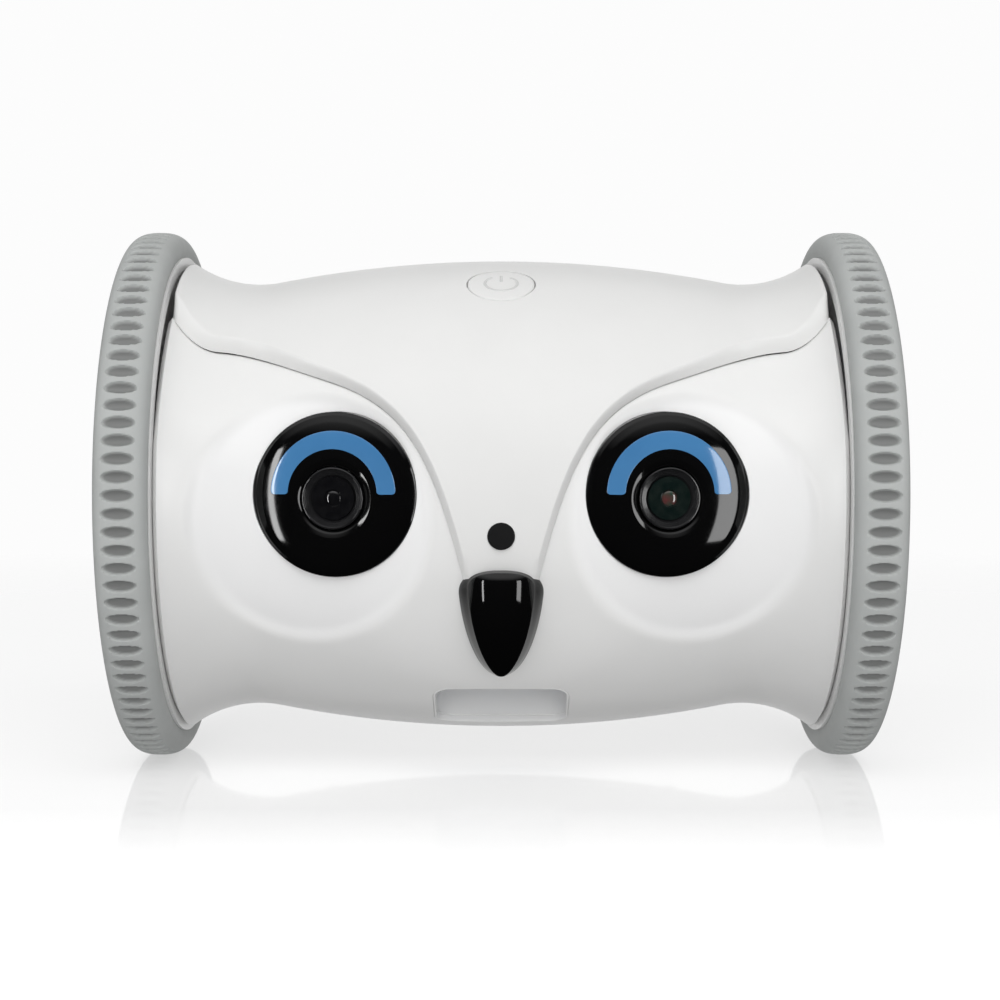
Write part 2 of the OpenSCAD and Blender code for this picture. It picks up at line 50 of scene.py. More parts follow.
# ---------------------------------------------------------------- casing shape
MID_R = 66.9  # barrel radius in the middle
WAIST_R = 60.3  # barrel radius at each waist
WAIST_X = 69.0  # from the middle to a waist
WAIST_ARC = 33.0  # radius of the waist's curve along the axle
BODY_END = 88.4
WAIST_DROP = WAIST_R + WAIST_ARC - MID_R
CROWN_ARC = (WAIST_X**2 + WAIST_DROP**2 - WAIST_ARC**2) / (2 * (WAIST_ARC - WAIST_DROP))
JOIN_X = WAIST_X - WAIST_ARC * WAIST_X / (CROWN_ARC + WAIST_ARC)
WALL = 2.2
EDGE_BEVEL = 0.14

EYE_X = 43.1
EYE_Y = -59.0
EYE_Z = 2.1
EYE_R = 21.5
EYE_TURN = math.radians(7)  # each eye looks this far outwards
DISC_X = 49.6
DISC_Z = -4.2
DISC_R = 33.5
DISC_DEPTH = 1.1
DISC_EDGE = 4.4  # width over which the face falls to that depth
DISC_BOWL = 1.6  # further depth towards the middle of the disc
BOWL_EDGE = 24.0
OUTLET_DIR = math.radians(-60.25)
OUTLET_HALF_W = 18.5
OUTLET_HALF_H = 12.4
OUTLET_CORNER = 5.0
BUTTON_DIR = math.radians(61)
BUTTON_R = 9.3
DOT_Z = -8.4
DOT_R = 3.5

# Right half of the seam between brow and face in the front view, as Bezier curves of (x, z).
SEAM = [
    [(9.7, -20.2), (17.4, 10.8), (23.8, 24.5), (44.7, 31.2)],
    [(44.7, 31.2), (55, 34.5), (67, 38.9), (76, 39.3)],
    [(76, 39.3), (80.5, 39.9), (85.2, 43.5), (90, 51.5)],
]
STEP_FADE = 30.0  # distance from the seam at which the face meets the barrel again
STEP_X = [10, 30, 45, 62, 88]
STEP_DEPTHS = [2.1, 2.7, 3.3, 4.0, 4.0]
LIP_X = [10, 20, 30, 45, 62, 88]
LIP_WIDTHS = [1.6, 2.0, 2.6, 3.5, 4.6, 4.6]
LIP_PROUD = 0.35  # how far the brow's edge stands over the face
LIP_CURVE = 1.25
END_ROLL = 1.4
ROLL_REACH = 0.985  # share of its radius that the rolled end runs over
ROLL_DEPTH = 0.8
CURVE_STEPS = 60


def bezier(p, t):
    t = np.asarray(t)[:, None]
    p = np.array(p, float)
    return (1 - t) ** 3 * p[0] + 3 * (1 - t) ** 2 * t * p[1] + 3 * (1 - t) * t * t * p[2] + t**3 * p[3]


def trace(curves):
    """Points along joined Bezier curves, with both ends."""
    t = np.linspace(0, 1, CURVE_STEPS, endpoint=False)
    return np.vstack([*(bezier(curve, t) for curve in curves), curves[-1][-1]])


SEAM_LINE = trace(SEAM)


def smooth(a, b, v):
    t = np.clip((v - a) / (b - a), 0, 1)
    return t * t * (3 - 2 * t)


def barrel_r(x):
    x = np.abs(x)
    crown = MID_R - CROWN_ARC + np.sqrt(CROWN_ARC**2 - np.minimum(x, JOIN_X) ** 2)
    waist = WAIST_R + WAIST_ARC - np.sqrt(np.maximum(WAIST_ARC**2 - (x - WAIST_X) ** 2, 0))
    return np.where(x < JOIN_X, crown, waist)


def seam_z(x):
    return np.interp(np.abs(x), SEAM_LINE[:, 0], SEAM_LINE[:, 1])


def seam_distance(x, z):
    """Distance from the seam in the front view, for arrays of points."""
    x = np.abs(x)
    best = np.full(x.shape, np.inf)
    for p, s in zip(SEAM_LINE[:-1], np.diff(SEAM_LINE, axis=0)):
        t = np.clip(((x - p[0]) * s[0] + (z - p[1]) * s[1]) / (s @ s), 0, 1)
        best = np.minimum(best, np.hypot(x - p[0] - t * s[0], z - p[1] - t * s[1]))
    return best


def disc_inset(x, z):
    """How far inside the edge of the nearer disc a point of the front view lies."""
    return DISC_R - np.hypot(np.abs(x) - DISC_X, z - DISC_Z)


def on_barrel(x, elevation, height):
    r = barrel_r(x) + height
    return np.stack([x, -r * np.cos(elevation), r * np.sin(elevation)], axis=-1)


# ---------------------------------------------------------------- mesh helpers
RIM_SNAP = 0.14  # points this near a hole's outline move on to it
TINY = 1e-5


def mesh(name, points, faces, body, material, replaces=(), smooth_angle=40):
    """Makes a piece from points about the axle, and rides it on its body."""
    points = np.array(points, float).reshape(-1, 3) * MM
    points[:, 2] += AXLE_Z * MM
    data = bpy.data.meshes.new(name)
    data.from_pydata(points.tolist(), [], faces)
    data.update()
    data.materials.append(material)
    data.shade_smooth()
    data.set_sharp_from_angle(angle=math.radians(smooth_angle))
    piece = bpy.data.objects.new(name, data)
    bpy.context.scene.collection.objects.link(piece)
    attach(piece, body)
    if replaces:
        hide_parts(*replaces)
    return piece


def grid_faces(rows, cols, wrap_cols=False, wrap_rows=False):
    faces = []
    for i in range(rows if wrap_rows else rows - 1):
        below = ((i + 1) % rows) * cols
        for j in range(cols if wrap_cols else cols - 1):
            beside = (j + 1) % cols
            faces.append((i * cols + j, i * cols + beside, below + beside, below + j))
    return faces


def placed(place, points):
    """Moves points given in a local frame to the frame about the axle."""
    return [place @ Vector(p) for p in np.array(points).reshape(-1, 3)]


def circle(count):
    return np.arange(count) * 2 * math.pi / count


def face_outwards(piece):
    """Turns every face away from the axle."""
    bm = bmesh.new()
    bm.from_mesh(piece.data)
    turn = []
    for face in bm.faces:
        middle = face.calc_center_median()
        if face.normal.dot(Vector((0, middle.y, middle.z - AXLE_Z * MM))) < 0:
            turn.append(face)
    bmesh.ops.reverse_faces(bm, faces=turn)
    bm.to_mesh(piece.data)
    bm.free()


def close(piece):
    """Welds a closed form and turns its faces outwards."""
    bm = bmesh.new()
    bm.from_mesh(piece.data)
    bmesh.ops.remove_doubles(bm, verts=bm.verts, dist=1e-6)
    bmesh.ops.recalc_face_normals(bm, faces=bm.faces)
    bm.to_mesh(piece.data)
    bm.free()


def cut_hole(piece, local, half_w, half_h, corner):
    """Cuts a rounded rectangle out of a sheet along its exact outline.

    local is the matrix, in metres, whose Z runs out through the hole; sizes are millimetres."""
    inverse = local.inverted()
    bm = bmesh.new()
    bm.from_mesh(piece.data)

    def signed(p):
        qx = abs(p.x) - (half_w - corner) * MM
        qy = abs(p.y) - (half_h - corner) * MM
        out = math.hypot(max(qx, 0), max(qy, 0))
        return out + min(max(qx, qy), 0) - corner * MM

    def slope(p, step):
        return (signed(p + step) - signed(p - step)) / (2 * TINY)

    rim = set()
    for vert in bm.verts:
        p = inverse @ vert.co
        d = signed(p)
        if p.z > 0 and abs(d) < RIM_SNAP * MM:
            gx = slope(p, Vector((TINY, 0, 0)))
            gy = slope(p, Vector((0, TINY, 0)))
            vert.co = local @ (p - Vector((d * gx, d * gy, 0)))
            rim.add(vert)
    for edge in list(bm.edges):
        a, b = (inverse @ vert.co for vert in edge.verts)
        if min(a.z, b.z) <= 0 or rim & set(edge.verts) or signed(a) * signed(b) >= 0:
            continue
        share = signed(a) / (signed(a) - signed(b))
        rim.add(bmesh.utils.edge_split(edge, edge.verts[0], share)[1])
    bmesh.ops.connect_verts(bm, verts=list(rim))
    inside = []
    for face in bm.faces:
        spots = [inverse @ vert.co for vert in face.verts]
        if all(p.z > 0 for p in spots) and sum(signed(p) for p in spots) < -TINY * MM:
            inside.append(face)
    bmesh.ops.delete(bm, geom=inside, context="FACES")
    bm.to_mesh(piece.data)
    bm.free()


def thicken(piece):
    """Gives a shell its wall and softens its edges."""
    solid = piece.modifiers.new("wall", "SOLIDIFY")
    solid.thickness = WALL * MM
    solid.offset = -1
    edge = piece.modifiers.new("edge", "BEVEL")
    edge.width = EDGE_BEVEL * MM
    edge.segments = 3
    edge.limit_method = "ANGLE"
    edge.angle_limit = math.radians(55)


def spin(name, profile, segments, material, place, replaces=(), smooth_angle=40):
    """Revolves a closed [z, r] profile about the local Z of place, as a piece of the casing."""
    z, r = np.array(profile, float).T
    a = circle(segments)[:, None]
    points = np.stack([r * np.cos(a), r * np.sin(a), np.broadcast_to(z, (segments, len(z)))], -1)
    faces = grid_faces(segments, len(z), wrap_cols=True, wrap_rows=True)
    close(mesh(name, placed(place, points), faces, "casing", material, replaces, smooth_angle))


def arc(cz, cr, radius, start, stop, steps):
    """Points of an arc in a [z, r] profile, angles in degrees from +z."""
    return [(cz + radius * math.cos(math.radians(t)), cr + radius * math.sin(math.radians(t)))
            for t in np.linspace(start, stop, steps)]


def aim(direction):
    """Frame about the axle whose Z points outwards at an elevation from straight ahead."""
    return Matrix.Rotation(math.pi / 2 - direction, 4, "X")


def ahead(x, y, z):
    """Frame at a point whose Z points straight ahead, X across and Y up."""
    return Matrix.Translation((x, y, z)) @ Matrix.Rotation(math.pi / 2, 4, "X")


def eye_frame(side):
    """Frame of an eye: X across, Y up, Z outwards."""
    turn = Matrix.Rotation(side * EYE_TURN, 4, "Z")
    return Matrix.Translation((side * EYE_X, EYE_Y, EYE_Z)) @ turn @ ahead(0, 0, 0)


def in_metres(place):
    """The same frame in the scene's own metres, for cut_hole."""
    location, rotation, _ = place.decompose()
    location = location * MM + Vector((0, 0, AXLE_Z * MM))
    return Matrix.Translation(location) @ rotation.to_matrix().to_4x4()


# ---------------------------------------------------------------- materials
class Nodes:
    """A small helper that builds one principled material."""

    def __init__(self, name, color, rough, metal=0.0):
        self.material = bpy.data.materials.new(name)
        self.material.use_nodes = True
        self.tree = self.material.node_tree
        self.shader = self.tree.nodes["Principled BSDF"]
        self.shader.inputs["Base Color"].default_value = (*color, 1)
        self.shader.inputs["Roughness"].default_value = rough
        self.shader.inputs["Metallic"].default_value = metal
        self.coords = self.add("ShaderNodeTexCoord").outputs["Object"]

    def add(self, kind, **inputs):
        node = self.tree.nodes.new(kind)
        for key, value in inputs.items():
            node.inputs[key.replace("_", " ")].default_value = value
        return node

    def link(self, a, b):
        self.tree.links.new(a, b)

    def noise(self, scale, detail=4.0, rough=0.5):
        node = self.add("ShaderNodeTexNoise", Scale=scale, Detail=detail, Roughness=rough)
        self.link(self.coords, node.inputs["Vector"])
        return node.outputs["Fac"]

    def ramp(self, value, low, high, a, b):
        node = self.add("ShaderNodeMapRange", From_Min=low, From_Max=high, To_Min=a, To_Max=b)
        self.link(value, node.inputs["Value"])
        return node.outputs["Result"]

    def tint(self, value, a, b):
        node = self.tree.nodes.new("ShaderNodeMix")
        node.data_type = "RGBA"
        node.inputs["A"].default_value = (*a, 1)
        node.inputs["B"].default_value = (*b, 1)
        self.link(value, node.inputs["Factor"])
        self.link(node.outputs["Result"], self.shader.inputs["Base Color"])

    def mottle(self, scale, detail, a, b):
        """Varies the base colour softly between two close colours."""
        self.tint(self.ramp(self.noise(scale, detail), 0.3, 0.7, 0, 1), a, b)

    def paint(self, attribute, color):
        """Mixes the base colour towards another one by a point attribute of the mesh."""
        amount = self.add("ShaderNodeAttribute")
        amount.attribute_name = attribute
        mix = self.tree.nodes.new("ShaderNodeMix")
        mix.data_type = "RGBA"
        mix.inputs["B"].default_value = (*color, 1)
        self.link(amount.outputs["Fac"], mix.inputs["Factor"])
        self.link(self.shader.inputs["Base Color"].links[0].from_socket, mix.inputs["A"])
        self.link(mix.outputs["Result"], self.shader.inputs["Base Color"])

    def rough(self, value, a, b):
        self.link(self.ramp(value, 0.3, 0.7, a, b), self.shader.inputs["Roughness"])

    def coat(self, weight, rough):
        self.shader.inputs["Coat Weight"].default_value = weight
        self.shader.inputs["Coat Roughness"].default_value = rough

    def bump(self, value, strength, distance):
        node = self.add("ShaderNodeBump", Strength=strength, Distance=distance)
        self.link(value, node.inputs["Height"])
        self.link(node.outputs["Normal"], self.shader.inputs["Normal"])


def plastic(name, a, b, rough, grain, strength, specular=0.5, disc=None):
    """Moulded plastic with a fine grain, and painted light inside the discs if a lighter colour is given.
    """
    n = Nodes(name, a, rough)
    n.shader.inputs["Specular IOR Level"].default_value = specular
    n.mottle(38, 3, a, b)
    if disc:
        n.paint("disc", disc)
    n.rough(n.noise(240, 5), rough - 0.03, rough + 0.04)
    n.bump(n.noise(grain, 6, 0.6), strength, 0.00005)
    return n.material


def rubber(name, a, b, dimple_shade):
    """Matt rubber with painted shade: the floor of each moulded dimple is painted darker, as shade falls
    there.
    """
    n = Nodes(name, a, 0.62)
    n.shader.inputs["Specular IOR Level"].default_value = 0.35
    n.mottle(55, 4, a, b)
    n.paint("dimple_shade", dimple_shade)
    n.rough(n.noise(240, 5), 0.58, 0.7)
    n.bump(n.noise(1500, 6, 0.7), 0.4, 0.00007)
    return n.material


def metal(name, a, b, rough, grain):
    n = Nodes(name, a, rough, 1.0)
    n.mottle(90, 4, a, b)
    n.rough(n.noise(grain, 6), rough - 0.08, rough + 0.08)
    n.bump(n.noise(grain * 2, 5, 0.7), 0.12, 0.00004)
    return n.material


def gloss(name, a, b, rough, coat):
    n = Nodes(name, a, rough)
    n.coat(coat, 0.02)
    n.mottle(30, 2, a, b)
    n.rough(n.noise(160, 4), rough, rough + 0.03)
    n.bump(n.noise(14, 1), 0.02, 0.0002)
    return n.material


def light_guide(name, a, b, glow):
    n = Nodes(name, a, 0.12)
    n.coat(0.6, 0.04)
    n.mottle(60, 3, a, b)
    n.shader.inputs["Emission Color"].default_value = (*glow, 1)
    n.shader.inputs["Emission Strength"].default_value = 0.16
    n.bump(n.noise(900, 3), 0.05, 0.00004)
    return n.material


def lens_glass(name, a, b):
    n = Nodes(name, a, 0.03)
    n.coat(1.0, 0.01)
    n.shader.inputs["IOR"].default_value = 1.6
    n.tint(n.ramp(n.noise(420, 2), 0.35, 0.65, 0, 1), a, b)
    return n.material


def circuit_board(name, a, b):
    n = Nodes(name, a, 0.4)
    cells = n.add("ShaderNodeTexVoronoi", Scale=520.0)
    n.link(n.coords, cells.inputs["Vector"])
    n.tint(n.ramp(cells.outputs["Distance"], 0.2, 0.5, 0, 1), a, b)
    n.rough(n.noise(300, 4), 0.35, 0.5)
    n.bump(n.noise(1400, 4), 0.15, 0.00005)
    return n.material


SHELL_WHITES = ((0.82, 0.82, 0.813), (0.80, 0.80, 0.793))
WHITE = plastic("white_shell", *SHELL_WHITES, 0.36, 2600, 0.10)
# painted light: the face is painted lighter inside the disc round each eye
WHITE_FACE_DISC_LIT = plastic("white_face_disc_lit", *SHELL_WHITES, 0.36, 2600, 0.10, disc=(0.865, 0.865, 0.865))
# painted shade: a darker copy of the shell's white for the brow and the button cap
WHITE_BROW_SHADED = plastic("white_brow_shaded", (0.79, 0.79, 0.782), (0.77, 0.77, 0.762), 0.36, 2600, 0.10)
WHITE_IN = plastic("white_inner", (0.86, 0.86, 0.855), (0.84, 0.84, 0.835), 0.5, 1800, 0.15)
# painted shade: the power symbol's low relief is painted grey, in place of the shade along its edges
WHITE_RELIEF_SHADED = plastic("white_relief_shaded", (0.66, 0.66, 0.655), (0.63, 0.63, 0.625), 0.4, 2400, 0.10)
# the third colour is painted shade for the floors of the tyre's dimples
RUBBER = rubber("tyre_grey", (0.46, 0.475, 0.468), (0.42, 0.435, 0.428), (0.225, 0.23, 0.226))
BLACK = gloss("black_gloss", (0.0022, 0.0022, 0.0024), (0.003, 0.003, 0.0032), 0.06, 0.0)
BLACK_MATT = plastic("black_matt", (0.007, 0.007, 0.0075), (0.010, 0.010, 0.0105), 0.42, 2200, 0.2, 0.4)
GREY = plastic("grey_plastic", (0.46, 0.48, 0.47), (0.42, 0.44, 0.43), 0.5, 1800, 0.15)
DARK = plastic("dark_plastic", (0.035, 0.035, 0.038), (0.05, 0.05, 0.053), 0.5, 1600, 0.2, 0.4)
DARK_GLOSS = gloss("lens_housing", (0.010, 0.010, 0.011), (0.014, 0.014, 0.015), 0.16, 0.4)
BLUE = plastic("blue_rotor", (0.09, 0.27, 0.56), (0.07, 0.23, 0.5), 0.45, 1500, 0.15)
STEEL = metal("steel", (0.62, 0.62, 0.64), (0.52, 0.52, 0.54), 0.32, 900)
ARC_BLUE = light_guide("blue_light_guide", (0.055, 0.18, 0.37), (0.045, 0.155, 0.33), (0.05, 0.22, 0.48))
LENS_GREEN = lens_glass("lens_coating", (0.004, 0.010, 0.009), (0.010, 0.016, 0.014))
LENS_DARK = lens_glass("dark_window", (0.004, 0.004, 0.005), (0.007, 0.007, 0.008))
LENS_CENTRE = lens_glass("lens_element", (0.02, 0.05, 0.035), (0.10, 0.03, 0.03))
BOARD = circuit_board("circuit_board", (0.02, 0.22, 0.10), (0.01, 0.11, 0.05))
CELL = gloss("battery_sleeve", (0.03, 0.13, 0.42), (0.025, 0.11, 0.36), 0.25, 0.3)

# ---------------------------------------------------------------- front shells
# Columns of the shells as (from, to, spacing): closest where the seam is steep and at the rolled ends.
COLUMN_RUNS = ((0, 9.7, 1.2), (9.7, 14, 0.3), (14, 24, 0.55), (24, 83, 1.05), (83, BODY_END, 0.4))
BROW_ROWS = 120
FACE_ROWS = 150
BROW_FIRST = 0.30  # spacing of the rows at the seam, as a share of an even spacing
FACE_FIRST = 0.42
ROW_SPREAD = 2.2
BROW_GAP = 0.0006  # radians between the brow's edge and the seam
FACE_GAP = 0.0003
PAST_SEAM = 1.3  # beyond this elevation the shells run far from the seam
FAR_Z = 90.0
FIT_ROUNDS = 6
HOLE_BEHIND = 30.0  # how far behind the face an eye's hole starts
BUTTON_CLEAR = 0.2
DOT_CLEAR = 0.1
EYE_CLEAR = 0.08
OUTLET_CLEAR = 0.05


def front_columns():
    right = np.concatenate([*(np.arange(*run) for run in COLUMN_RUNS), [BODY_END]])
    return np.concatenate([-right[:0:-1], right])


def rows_between(start, stop, count, first):
    """Elevations that start close together at the seam and spread out."""
    t = np.linspace(0, 1, count)[:, None]
    return start + (stop - start) * (first * t + (1 - first) * t**ROW_SPREAD)


def step_at(x):
    """Depth of the face below the barrel along the seam, growing towards the wheels."""
    return np.interp(np.abs(x), STEP_X, STEP_DEPTHS)


def brow_height(x, z):
    """How far the brow lies below the barrel: a rolled lip along the seam and rounded ends."""
    band = np.interp(np.abs(x), LIP_X, LIP_WIDTHS)
    rise = np.clip(seam_distance(x, z) / band, 0, 1)
    lip = -(step_at(x) - LIP_PROUD) * (1 - rise) ** LIP_CURVE
    past = np.clip(np.abs(x) - (BODY_END - END_ROLL), 0, END_ROLL * ROLL_REACH)
    end = -(END_ROLL - np.sqrt(END_ROLL**2 - past**2)) * ROLL_DEPTH
    return lip + end


def face_height(x, z):
    """How far the face lies below the barrel: the step at the seam and the disc round each eye."""
    step = -step_at(x) * (1 - smooth(0, STEP_FADE, seam_distance(x, z)))
    inset = disc_inset(x, z)
    return step - DISC_DEPTH * smooth(0, DISC_EDGE, inset) - DISC_BOWL * smooth(0, BOWL_EDGE, inset)


def shell_points(x, elevation, height):
    """Grid of a shell whose height over the barrel depends on where it is in the front view."""
    lift = np.zeros_like(elevation)
    for _ in range(FIT_ROUNDS):
        z = (barrel_r(x) + lift) * np.sin(elevation)
        lift = height(x, np.where(np.abs(elevation) > PAST_SEAM, FAR_Z * np.sign(elevation), z))
    return on_barrel(x, elevation, lift)


def make_brow():
    x = front_columns()
    low = np.arcsin(seam_z(x) / (barrel_r(x) - step_at(x) + LIP_PROUD)) + BROW_GAP
    elevation = rows_between(low[None, :], math.pi / 2, BROW_ROWS, BROW_FIRST)
    points = shell_points(np.broadcast_to(x, elevation.shape), elevation, brow_height)
    faces = grid_faces(*elevation.shape)
    # the brow gets the white with painted shade
    piece = mesh("brow", points, faces, "casing", WHITE_BROW_SHADED, ["brow_cover"])
    face_outwards(piece)
    button = (aim(BUTTON_DIR), BUTTON_R + BUTTON_CLEAR)
    dot = (ahead(0, 0, DOT_Z), DOT_R + DOT_CLEAR)
    for place, radius in (button, dot):
        cut_hole(piece, in_metres(place), radius, radius, radius)
    thicken(piece)


def make_face():
    x = front_columns()
    high = np.arcsin(seam_z(x) / (barrel_r(x) - step_at(x))) - FACE_GAP
    elevation = rows_between(high[None, :], -math.pi / 2, FACE_ROWS, FACE_FIRST)
    points = shell_points(np.broadcast_to(x, elevation.shape), elevation, face_height)
    faces = grid_faces(*elevation.shape)
    piece = mesh("face", points, faces, "casing", WHITE_FACE_DISC_LIT, ["face_shell"])
    px, py, pz = points.reshape(-1, 3).T
    # painted light: this mask makes the face lighter inside the eye discs
    disc = piece.data.attributes.new("disc", "FLOAT", "POINT")
    disc.data.foreach_set("value", smooth(0, DISC_EDGE, disc_inset(px, pz)) * (py < 0))
    face_outwards(piece)
    radius = EYE_R + EYE_CLEAR
    for side in (-1, 1):
        behind = eye_frame(side) @ Matrix.Translation((0, 0, -HOLE_BEHIND))
        cut_hole(piece, in_metres(behind), radius, radius, radius)
    half_w = OUTLET_HALF_W + OUTLET_CLEAR
    half_h = OUTLET_HALF_H + OUTLET_CLEAR
    cut_hole(piece, in_metres(aim(OUTLET_DIR)), half_w, half_h, OUTLET_CORNER)
    thicken(piece)


# ---------------------------------------------------------------- eyes
EYE_TOP = 4.9  # height of the cover's middle in its own frame
EYE_DROP = 2.3  # fall of the dome from there to its bevel
EYE_CURVE = 2.8
BAND = 2.7  # width of the bevel
BAND_DROP = 1.2
COVER_DEPTH = 4.0
EYE_SHIFT = 0.9  # the lens sits this far below the cover's middle
HOLE_R = 10.2
LENS_BARREL_R = 8.1
LENS_R = 5.6
ARC_IN = 11.6
ARC_OUT = 16.5
ARC_SHIFT = 0.15  # the arc's centre sits this far above the cover's middle
AROUND_EYE = 192


def eye_dome(r):
    """Height of the eye cover over its own frame at a distance from its centre."""
    return EYE_TOP - EYE_DROP * (r / (EYE_R - BAND)) ** EYE_CURVE


def place_piece(name, rows, side, material, replaced, smooth_angle, closed):
    """Sets rings given in an eye's own frame on to the face."""
    faces = grid_faces(len(rows), len(rows[0]), wrap_cols=True, wrap_rows=closed)
    points = placed(eye_frame(side), rows)
    close(mesh(name, points, faces, "casing", material, [replaced], smooth_angle))


def make_eye_cover(side, word):
    """A bevelled dome with the lens hole a little below its centre."""
    turn = circle(AROUND_EYE)
    edge = EYE_R - BAND
    rim = eye_dome(edge)
    rings = [(EYE_R, -COVER_DEPTH), (EYE_R, rim - 1.75), (EYE_R - 0.12, rim - 1.45)]
    rings += [(EYE_R - 0.45, rim - BAND_DROP)]
    rings += [(EYE_R - BAND * t, rim - BAND_DROP * (1 - t)) for t in (0.35, 0.6, 0.85, 0.97)]
    rows = [np.stack([r * np.cos(turn), r * np.sin(turn), np.full_like(turn, z)], -1) for r, z in rings]
    for t in np.linspace(0.02, 1, 22):
        r = edge + (HOLE_R - edge) * t
        x = r * np.cos(turn)
        y = r * np.sin(turn) - EYE_SHIFT * t
        rows.append(np.stack([x, y, eye_dome(np.hypot(x, y))], -1))
    # Two cones lead down to the lens, then a straight wall.
    recess = ((0.06, 0.03), (0.9, 0.36), (1.0, 0.42), (1.75, 1.02), (1.8, 1.2), (1.8, COVER_DEPTH))
    for inset, fall in recess:
        x = (HOLE_R - inset) * np.cos(turn)
        y = (HOLE_R - inset) * np.sin(turn) - EYE_SHIFT
        rows.append(np.stack([x, y, eye_dome(np.hypot(x, y)) - fall], -1))
    place_piece(f"{word}_eye_shell", rows, side, BLACK, f"{word}_eye_cover", 12, True)


def make_light_arc(side, word):
    """Half a ring set into the cover, with level ends and soft corners."""
    mid = (ARC_IN + ARC_OUT) / 2
    half = (ARC_OUT - ARC_IN) / 2 - 0.06
    corner = 0.9
    depth = 0.9
    ease = (1 - np.cos(np.linspace(0, math.pi, 90))) / 2
    rows = []
    for angle in ease * math.pi:
        from_end = min(angle, math.pi - angle) * mid
        width = half - corner + math.sqrt(corner**2 - max(corner - from_end, 0) ** 2)
        side_wall = [(width, -depth), (width, -0.02), (width - 0.1, 0.05)]
        top = [(width * u, 0.06) for u in np.linspace(-0.9, 0.9, 7)]
        section = [*((-across, lift) for across, lift in side_wall), *top, *side_wall[::-1]]
        row = []
        for across, lift in section:
            x = (mid + across) * math.cos(angle)
            y = (mid + across) * math.sin(angle) + ARC_SHIFT
            row.append((x, y, eye_dome(math.hypot(x, y)) + lift))
        rows.append(row)
    first, last = ([(x, y, z - depth) for x, y, z in row] for row in (rows[0], rows[-1]))
    capped = [first, *rows, last]
    name = f"{word}_eye_light"
    place_piece(name, capped, side, ARC_BLUE, f"{word}_light_arc", 35, False)


def make_lens(side, ring, ring_node, glass, glass_node, material, centre):
    """Stepped black barrel with a domed glass and a small inner element."""
    place = eye_frame(side) @ Matrix.Translation((0, -EYE_SHIFT, EYE_TOP))
    lip = 0.5
    steps = [(-6, LENS_BARREL_R), (-1.0, LENS_BARREL_R), *arc(-1.0, LENS_BARREL_R - lip, lip, 90, 0, 6)]
    for r in (7.3, 6.9, 6.5, 6.1):
        fall = (LENS_BARREL_R - lip - r) * 0.7
        steps += [(-0.52 - fall, r + 0.12), (-0.74 - fall, r)]
    steps += [(-2.2, LENS_R + 0.05), (-6, LENS_R + 0.05)]
    spin(ring, steps, 128, DARK_GLOSS, place, [ring_node], 30)
    dome = [(-1.9 + 0.55 * math.sqrt(1 - (r / 6.2) ** 2), r) for r in np.linspace(LENS_R, 2.35, 14)]
    inner = [(-1.55, 2.25), (-1.75, 2.1), (-1.72, 1.6), (-1.62, 0.9), (-1.58, 0)]
    front = [(-4, 0), (-4, LENS_R), *dome, *inner]
    spin(glass, front, 128, material, place, [glass_node], 30)
    bead = [(-1.78, 2.0), (-1.6, 1.75), (-1.42, 1.2), (-1.34, 0.6), (-1.32, 0), (-1.8, 0)]
    spin(f"{glass}_element", bead, 64, centre, place, smooth_angle=30)


# ---------------------------------------------------------------- beak
# Right half of the outline in the front view, as Bezier curves of (x, z).
BEAK = [
    [(0, -17.1), (6, -16.9), (11.6, -18.6), (11, -24)],
    [(11, -24), (10.2, -33), (6.4, -46.8), (0, -46.8)],
]
BEAK_MID_Z = -27.5
BEAK_HALF_W = 11.0
BEAK_FRONT = -68.5
BEAK_FALL = 8.0  # how far the sides lie behind the keel
BEAK_CURVE = 2.6
BEAK_STAND = 1.2  # least height over the face
BEAK_BAND = 0.7  # width of the bevel at the top and the tip
BEAK_BAND_MORE = 1.65  # what the bevel gains towards the sides
KEEL_Z = -20.5
KEEL_TOP_R = 3.0
KEEL_LOW_R = 24.0


def face_y(x, z):
    """Front of the face shell at a point of the front view."""
    r = barrel_r(x) + face_height(x, z)
    return -np.sqrt(np.maximum(r**2 - z**2, 1))


def beak_y(x, z):
    """Front of the beak: foremost near its top, and curving back slowly down to the tip."""
    rise = z - KEEL_Z
    back = rise**2 / (2 * np.where(rise > 0, KEEL_TOP_R, KEEL_LOW_R))
    return BEAK_FRONT + back + BEAK_FALL * (np.abs(x) / BEAK_HALF_W) ** BEAK_CURVE


